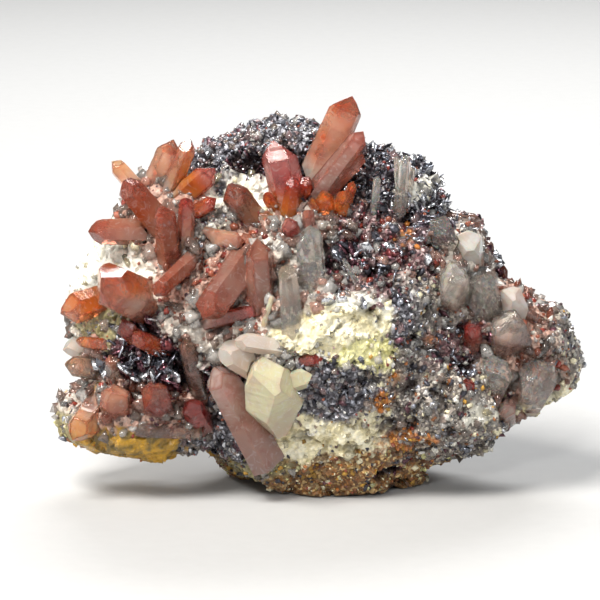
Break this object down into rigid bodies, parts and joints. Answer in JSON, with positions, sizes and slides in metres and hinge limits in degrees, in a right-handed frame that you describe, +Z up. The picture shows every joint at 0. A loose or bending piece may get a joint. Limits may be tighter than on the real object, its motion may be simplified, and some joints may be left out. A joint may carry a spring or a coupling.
{
  "type": "quartz on hematite mineral specimen",
  "caption": "Hand-sized broken lump of dark hematite rock with a narrow horn at one end, one side set with fans and clusters of red, orange, smoky and clear six-sided quartz crystals.",
  "frame": {"origin": "on the flat broken base that the specimen rests on, below the middle of the rock", "axes": "+Z up from the base, +X along the length towards the narrow horn, -Y the side that carries the quartz crystals"},
  "size_m": [0.0703, 0.0397, 0.0541],
  "materials": {
    "hematite_rock": "rough broken hematite, dull grey-black to purple, with mica-bright flakes",
    "red_quartz": "glossy translucent deep red quartz",
    "amber_quartz": "glossy translucent orange to amber quartz",
    "salmon_quartz": "satin translucent pinkish brown quartz dusted with hematite",
    "smoky_quartz": "glossy grey-brown transparent quartz",
    "clear_quartz": "glossy colourless transparent quartz",
    "cream_quartz": "sugary cream-white to pale yellow quartz"
  },
  "bodies": {
    "root": {"hematite_matrix": "hematite_rock", "ruby_spray": "red_quartz", "crown": "amber_quartz", "crown_second": "salmon_quartz", "orange_cluster": "amber_quartz", "rosy_bud": "red_quartz", "rosy_sliver": "salmon_quartz", "fan_outrigger": "amber_quartz", "fan_twins": "amber_quartz", "fan_ruby_tip": "red_quartz", "fan_big_red": "salmon_quartz", "fan_left_point": "salmon_quartz", "fan_upright": "salmon_quartz", "fan_sprig": "red_quartz", "fan_dart": "red_quartz", "pitted_crystal": "salmon_quartz", "striated_plate": "salmon_quartz", "phantom_eye": "amber_quartz", "left_glint": "amber_quartz", "garnet_beads": "red_quartz", "salmon_lean": "salmon_quartz", "left_splinter": "amber_quartz", "left_wedge": "cream_quartz", "pale_stub": "smoky_quartz", "amber_post": "smoky_quartz", "hex_stub": "salmon_quartz", "dark_eye": "red_quartz", "honey_plate": "amber_quartz", "low_prism": "smoky_quartz", "garnet_low": "red_quartz", "smoky_post": "smoky_quartz", "centre_pair": "salmon_quartz", "centre_dart": "red_quartz", "frosted_column": "clear_quartz", "clear_prism": "clear_quartz", "gold_needle": "cream_quartz", "rose_log": "salmon_quartz", "sulphur_chunk": "cream_quartz", "sugar_block": "cream_quartz", "lower_red": "red_quartz", "silver_blade": "clear_quartz", "thin_finger": "clear_quartz", "thin_spray": "clear_quartz", "right_clear": "clear_quartz", "right_cream": "cream_quartz", "right_grey": "smoky_quartz", "right_white": "clear_quartz", "right_cap": "cream_quartz", "right_garnet": "red_quartz", "right_smoky": "smoky_quartz", "right_glass": "clear_quartz", "right_red": "red_quartz", "horn_clear": "clear_quartz", "horn_pink": "salmon_quartz", "back_fan": "salmon_quartz", "back_amber": "amber_quartz", "back_clear": "clear_quartz", "back_smoky": "smoky_quartz", "back_red": "red_quartz", "back_chunk": "cream_quartz"}
  },
  "joints": []
}
